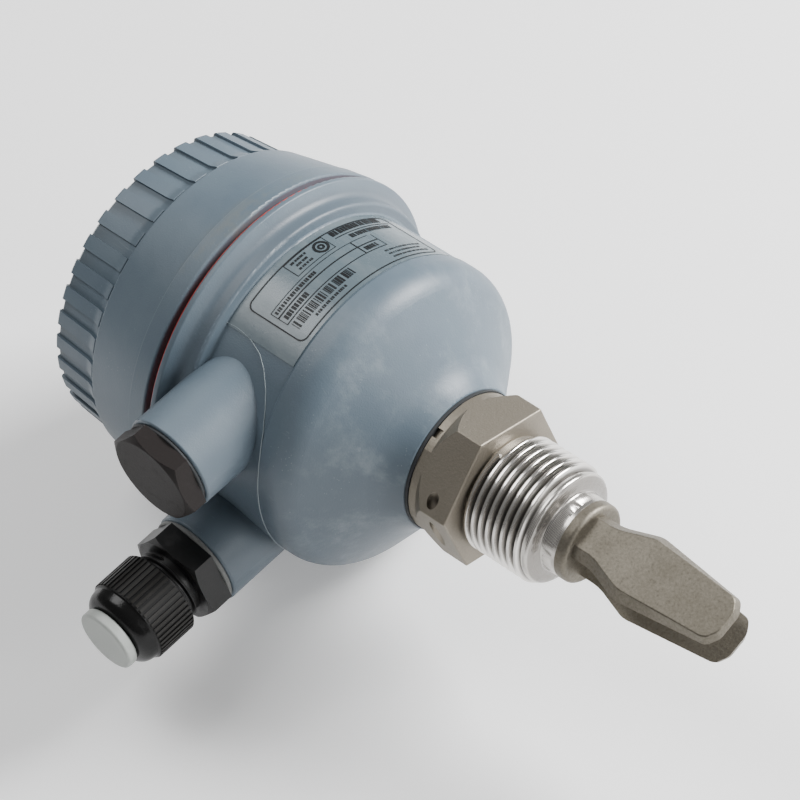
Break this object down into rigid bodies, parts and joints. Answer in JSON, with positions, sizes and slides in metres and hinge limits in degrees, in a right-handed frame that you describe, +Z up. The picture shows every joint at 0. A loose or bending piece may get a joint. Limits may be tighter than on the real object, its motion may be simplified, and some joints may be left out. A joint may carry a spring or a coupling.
{
  "type": "vibrating fork level switch",
  "caption": "Vibrating fork level switch: ribbed screw cover, moulded housing, conduit entries, hexagon with pipe thread and two-tine fork.",
  "frame": {"origin": "centre of the hexagon's sealing face, on the fork's axis where the process thread begins", "axes": "+X along the fork to its tips, the two conduit entries point to -Y, +Z is up as the picture shows it"},
  "size_m": [0.1914, 0.1358, 0.098],
  "materials": {
    "housing_plastic": "blue-grey glass-filled nylon, satin moulded skin",
    "cover_plastic": "blue-grey glass-filled nylon, satin, dull from handling on the grip",
    "label_film": null,
    "cast_steel": "warm grey investment-cast stainless steel, blasted, thread and hub machined bright",
    "dark_seal": "black rubber",
    "red_seal": "red-brown silicone",
    "plated_steel": "zinc-plated steel",
    "plated_steel_screw": "zinc-plated steel",
    "plug_plastic": "dark grey-brown plastic",
    "gland_nylon": "black nylon, satin",
    "gland_nylon_nut": "black nylon, ribbed grip and glossy dome",
    "gland_nylon_ring": "dark nylon",
    "grey_washer": "light grey sealing washer",
    "gland_rubber": "black rubber",
    "transit_plastic": "light grey soft plastic",
    "module_plastic": "black moulded case, potted",
    "board_green": "green solder resist",
    "terminal_plastic": "grey moulded terminal block",
    "switch_plastic": "black moulded switch base",
    "selector_plastic": "yellow-orange rotary selector",
    "led_plastic": "clear tinted lens",
    "connector_plastic": "natural nylon connector",
    "ceramic_white": null,
    "piezo_ceramic": null,
    "brass_sheet": "thin sheet contact",
    "lead_insulation": "insulated wire"
  },
  "bodies": {
    "switch_body": {"housing": "housing_plastic", "rating_label": "label_film", "process_fork": "cast_steel", "neck_seal": "dark_seal", "stem_lock_ring": "plated_steel", "gland_body": "gland_nylon", "gland_seal_washer": "grey_washer", "gland_grommet": "gland_rubber", "electronics_module": "module_plastic", "module_screws": "plated_steel_screw", "circuit_board": "board_green", "terminal_block": "terminal_plastic", "terminal_screws": "plated_steel_screw", "terminal_clamps": "plated_steel", "selector_base": "switch_plastic", "status_leds": "led_plastic", "sensor_connector": "connector_plastic", "tie_stud": "plated_steel", "pressure_disc": "plated_steel", "piezo_insulators": "ceramic_white", "drive_piezos": "piezo_ceramic", "sense_piezo": "piezo_ceramic", "piezo_electrodes": "brass_sheet", "stack_nut": "plated_steel", "sensor_leads": "lead_insulation"},
    "cover_carrier": {"cover_seal": "red_seal"},
    "cover": {"cover": "cover_plastic"},
    "plug_carrier": {"blanking_plug_seal": "dark_seal"},
    "plug": {"blanking_plug": "plug_plastic"},
    "gland_carrier": {"gland_slip_ring": "gland_nylon_ring"},
    "gland_nut": {"gland_nut": "gland_nylon_nut"},
    "transit_plug": {"transit_plug": "transit_plastic"},
    "mode_selector": {"mode_selector": "selector_plastic"}
  },
  "joints": [
    {"name": "cover_lift", "type": "slide", "parent": "switch_body", "child": "cover_carrier", "axis": [-1, 0, 0], "range_m": [0, 0.0136]},
    {"name": "cover_turn", "type": "hinge", "parent": "cover_carrier", "child": "cover", "pos_m": [-0.09, 0, 0], "axis": [-1, 0, 0], "range_deg": [0, 1620]},
    {"name": "plug_lift", "type": "slide", "parent": "switch_body", "child": "plug_carrier", "axis": [0, -1, 0], "range_m": [0, 0.0106]},
    {"name": "plug_turn", "type": "hinge", "parent": "plug_carrier", "child": "plug", "pos_m": [-0.0589, -0.055, 0.0194], "axis": [0, -1, 0], "range_deg": [0, 2520]},
    {"name": "gland_nut_lift", "type": "slide", "parent": "switch_body", "child": "gland_carrier", "axis": [0, -1, 0], "range_m": [0, 0.0091]},
    {"name": "gland_nut_turn", "type": "hinge", "parent": "gland_carrier", "child": "gland_nut", "pos_m": [-0.0589, -0.07, -0.0194], "axis": [0, -1, 0], "range_deg": [0, 2160]},
    {"name": "transit_pull", "type": "slide", "parent": "gland_carrier", "child": "transit_plug", "axis": [0, -1, 0], "range_m": [0, 0.018]},
    {"name": "selector_turn", "type": "hinge", "parent": "switch_body", "child": "mode_selector", "pos_m": [-0.0904, 0.016, 0.009], "axis": [-1, 0, 0], "range_deg": [0, 90]}
  ],
  "couplings": [
    {"joint": "cover_lift", "follows": "cover_turn", "m_per_rad": 0.00047746},
    {"joint": "plug_lift", "follows": "plug_turn", "m_per_rad": 0.00023873},
    {"joint": "gland_nut_lift", "follows": "gland_nut_turn", "m_per_rad": 0.00023873}
  ]
}
